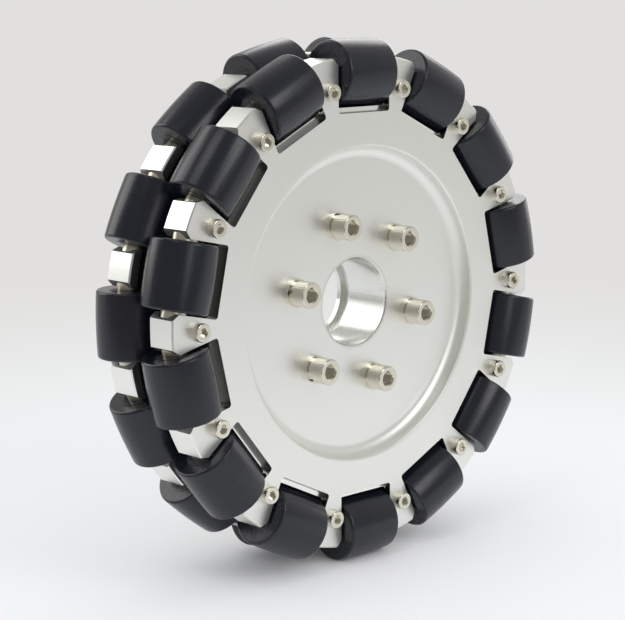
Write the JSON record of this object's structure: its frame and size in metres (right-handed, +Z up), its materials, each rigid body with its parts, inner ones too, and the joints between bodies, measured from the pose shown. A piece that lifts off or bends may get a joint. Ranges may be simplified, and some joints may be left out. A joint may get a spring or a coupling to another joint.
{
  "type": "omni wheel",
  "caption": "Round aluminium wheel with two rows of free-turning rubber rollers round its rim, a plain centre bore and a ring of hub screws.",
  "frame": {"origin": "the wheel's centre, on its axle and midway between its two faces", "axes": "the wheel's axle lies along Y, its front face looks towards -Y and +Z is up, with a front-row roller at the top"},
  "size_m": [0.203, 0.0516, 0.203],
  "materials": {
    "disc_aluminium": "satin, turned and milled",
    "roller_rubber": "smooth black moulded rubber, a little shiny",
    "axle_steel": "ground steel",
    "bush_nickel": "nickel plated, faintly yellow",
    "screw_nickel": "nickel plated",
    "washer_steel": "zinc plated"
  },
  "bodies": {
    "wheel": {"front_disc": "disc_aluminium", "front_clamp_ring": "disc_aluminium", "hub_spacer": "disc_aluminium", "rear_clamp_ring": "disc_aluminium", "rear_disc": "disc_aluminium", "front_roller_axles": "axle_steel", "rear_roller_axles": "axle_steel", "front_roller_bushes": "bush_nickel", "rear_roller_bushes": "bush_nickel", "front_rim_screws": "screw_nickel", "rear_rim_screws": "screw_nickel", "hub_screws": "screw_nickel", "hub_spring_washers": "washer_steel", "front_flat_washers": "washer_steel", "rear_flat_washers": "washer_steel", "hub_nuts": "screw_nickel"},
    "front_roller_01": {"front_roller_01": "roller_rubber"},
    "front_roller_02": {"front_roller_02": "roller_rubber"},
    "front_roller_03": {"front_roller_03": "roller_rubber"},
    "front_roller_04": {"front_roller_04": "roller_rubber"},
    "front_roller_05": {"front_roller_05": "roller_rubber"},
    "front_roller_06": {"front_roller_06": "roller_rubber"},
    "front_roller_07": {"front_roller_07": "roller_rubber"},
    "front_roller_08": {"front_roller_08": "roller_rubber"},
    "front_roller_09": {"front_roller_09": "roller_rubber"},
    "front_roller_10": {"front_roller_10": "roller_rubber"},
    "front_roller_11": {"front_roller_11": "roller_rubber"},
    "front_roller_12": {"front_roller_12": "roller_rubber"},
    "front_roller_13": {"front_roller_13": "roller_rubber"},
    "front_roller_14": {"front_roller_14": "roller_rubber"},
    "rear_roller_01": {"rear_roller_01": "roller_rubber"},
    "rear_roller_02": {"rear_roller_02": "roller_rubber"},
    "rear_roller_03": {"rear_roller_03": "roller_rubber"},
    "rear_roller_04": {"rear_roller_04": "roller_rubber"},
    "rear_roller_05": {"rear_roller_05": "roller_rubber"},
    "rear_roller_06": {"rear_roller_06": "roller_rubber"},
    "rear_roller_07": {"rear_roller_07": "roller_rubber"},
    "rear_roller_08": {"rear_roller_08": "roller_rubber"},
    "rear_roller_09": {"rear_roller_09": "roller_rubber"},
    "rear_roller_10": {"rear_roller_10": "roller_rubber"},
    "rear_roller_11": {"rear_roller_11": "roller_rubber"},
    "rear_roller_12": {"rear_roller_12": "roller_rubber"},
    "rear_roller_13": {"rear_roller_13": "roller_rubber"},
    "rear_roller_14": {"rear_roller_14": "roller_rubber"}
  },
  "joints": [
    {"name": "front_roller_01_spin", "type": "hinge", "parent": "wheel", "child": "front_roller_01", "pos_m": [0, -0.013, 0.0887], "axis": [1, 0, 0], "continuous": true},
    {"name": "front_roller_02_spin", "type": "hinge", "parent": "wheel", "child": "front_roller_02", "pos_m": [0.03849, -0.013, 0.07992], "axis": [0.901, 0, -0.4339], "continuous": true},
    {"name": "front_roller_03_spin", "type": "hinge", "parent": "wheel", "child": "front_roller_03", "pos_m": [0.06935, -0.013, 0.0553], "axis": [0.6235, 0, -0.7818], "continuous": true},
    {"name": "front_roller_04_spin", "type": "hinge", "parent": "wheel", "child": "front_roller_04", "pos_m": [0.08648, -0.013, 0.01974], "axis": [0.2225, 0, -0.9749], "continuous": true},
    {"name": "front_roller_05_spin", "type": "hinge", "parent": "wheel", "child": "front_roller_05", "pos_m": [0.08648, -0.013, -0.01974], "axis": [-0.2225, 0, -0.9749], "continuous": true},
    {"name": "front_roller_06_spin", "type": "hinge", "parent": "wheel", "child": "front_roller_06", "pos_m": [0.06935, -0.013, -0.0553], "axis": [-0.6235, 0, -0.7818], "continuous": true},
    {"name": "front_roller_07_spin", "type": "hinge", "parent": "wheel", "child": "front_roller_07", "pos_m": [0.03849, -0.013, -0.07992], "axis": [-0.901, 0, -0.4339], "continuous": true},
    {"name": "front_roller_08_spin", "type": "hinge", "parent": "wheel", "child": "front_roller_08", "pos_m": [0, -0.013, -0.0887], "axis": [-1, 0, 0], "continuous": true},
    {"name": "front_roller_09_spin", "type": "hinge", "parent": "wheel", "child": "front_roller_09", "pos_m": [-0.03849, -0.013, -0.07992], "axis": [-0.901, 0, 0.4339], "continuous": true},
    {"name": "front_roller_10_spin", "type": "hinge", "parent": "wheel", "child": "front_roller_10", "pos_m": [-0.06935, -0.013, -0.0553], "axis": [-0.6235, 0, 0.7818], "continuous": true},
    {"name": "front_roller_11_spin", "type": "hinge", "parent": "wheel", "child": "front_roller_11", "pos_m": [-0.08648, -0.013, -0.01974], "axis": [-0.2225, 0, 0.9749], "continuous": true},
    {"name": "front_roller_12_spin", "type": "hinge", "parent": "wheel", "child": "front_roller_12", "pos_m": [-0.08648, -0.013, 0.01974], "axis": [0.2225, 0, 0.9749], "continuous": true},
    {"name": "front_roller_13_spin", "type": "hinge", "parent": "wheel", "child": "front_roller_13", "pos_m": [-0.06935, -0.013, 0.0553], "axis": [0.6235, 0, 0.7818], "continuous": true},
    {"name": "front_roller_14_spin", "type": "hinge", "parent": "wheel", "child": "front_roller_14", "pos_m": [-0.03849, -0.013, 0.07992], "axis": [0.901, 0, 0.4339], "continuous": true},
    {"name": "rear_roller_01_spin", "type": "hinge", "parent": "wheel", "child": "rear_roller_01", "pos_m": [0.01974, 0.013, 0.08648], "axis": [0.9749, 0, -0.2225], "continuous": true},
    {"name": "rear_roller_02_spin", "type": "hinge", "parent": "wheel", "child": "rear_roller_02", "pos_m": [0.0553, 0.013, 0.06935], "axis": [0.7818, 0, -0.6235], "continuous": true},
    {"name": "rear_roller_03_spin", "type": "hinge", "parent": "wheel", "child": "rear_roller_03", "pos_m": [0.07992, 0.013, 0.03849], "axis": [0.4339, 0, -0.901], "continuous": true},
    {"name": "rear_roller_04_spin", "type": "hinge", "parent": "wheel", "child": "rear_roller_04", "pos_m": [0.0887, 0.013, 0], "axis": [0, 0, -1], "continuous": true},
    {"name": "rear_roller_05_spin", "type": "hinge", "parent": "wheel", "child": "rear_roller_05", "pos_m": [0.07992, 0.013, -0.03849], "axis": [-0.4339, 0, -0.901], "continuous": true},
    {"name": "rear_roller_06_spin", "type": "hinge", "parent": "wheel", "child": "rear_roller_06", "pos_m": [0.0553, 0.013, -0.06935], "axis": [-0.7818, 0, -0.6235], "continuous": true},
    {"name": "rear_roller_07_spin", "type": "hinge", "parent": "wheel", "child": "rear_roller_07", "pos_m": [0.01974, 0.013, -0.08648], "axis": [-0.9749, 0, -0.2225], "continuous": true},
    {"name": "rear_roller_08_spin", "type": "hinge", "parent": "wheel", "child": "rear_roller_08", "pos_m": [-0.01974, 0.013, -0.08648], "axis": [-0.9749, 0, 0.2225], "continuous": true},
    {"name": "rear_roller_09_spin", "type": "hinge", "parent": "wheel", "child": "rear_roller_09", "pos_m": [-0.0553, 0.013, -0.06935], "axis": [-0.7818, 0, 0.6235], "continuous": true},
    {"name": "rear_roller_10_spin", "type": "hinge", "parent": "wheel", "child": "rear_roller_10", "pos_m": [-0.07992, 0.013, -0.03849], "axis": [-0.4339, 0, 0.901], "continuous": true},
    {"name": "rear_roller_11_spin", "type": "hinge", "parent": "wheel", "child": "rear_roller_11", "pos_m": [-0.0887, 0.013, 0], "axis": [0, 0, 1], "continuous": true},
    {"name": "rear_roller_12_spin", "type": "hinge", "parent": "wheel", "child": "rear_roller_12", "pos_m": [-0.07992, 0.013, 0.03849], "axis": [0.4339, 0, 0.901], "continuous": true},
    {"name": "rear_roller_13_spin", "type": "hinge", "parent": "wheel", "child": "rear_roller_13", "pos_m": [-0.0553, 0.013, 0.06935], "axis": [0.7818, 0, 0.6235], "continuous": true},
    {"name": "rear_roller_14_spin", "type": "hinge", "parent": "wheel", "child": "rear_roller_14", "pos_m": [-0.01974, 0.013, 0.08648], "axis": [0.9749, 0, 0.2225], "continuous": true}
  ]
}
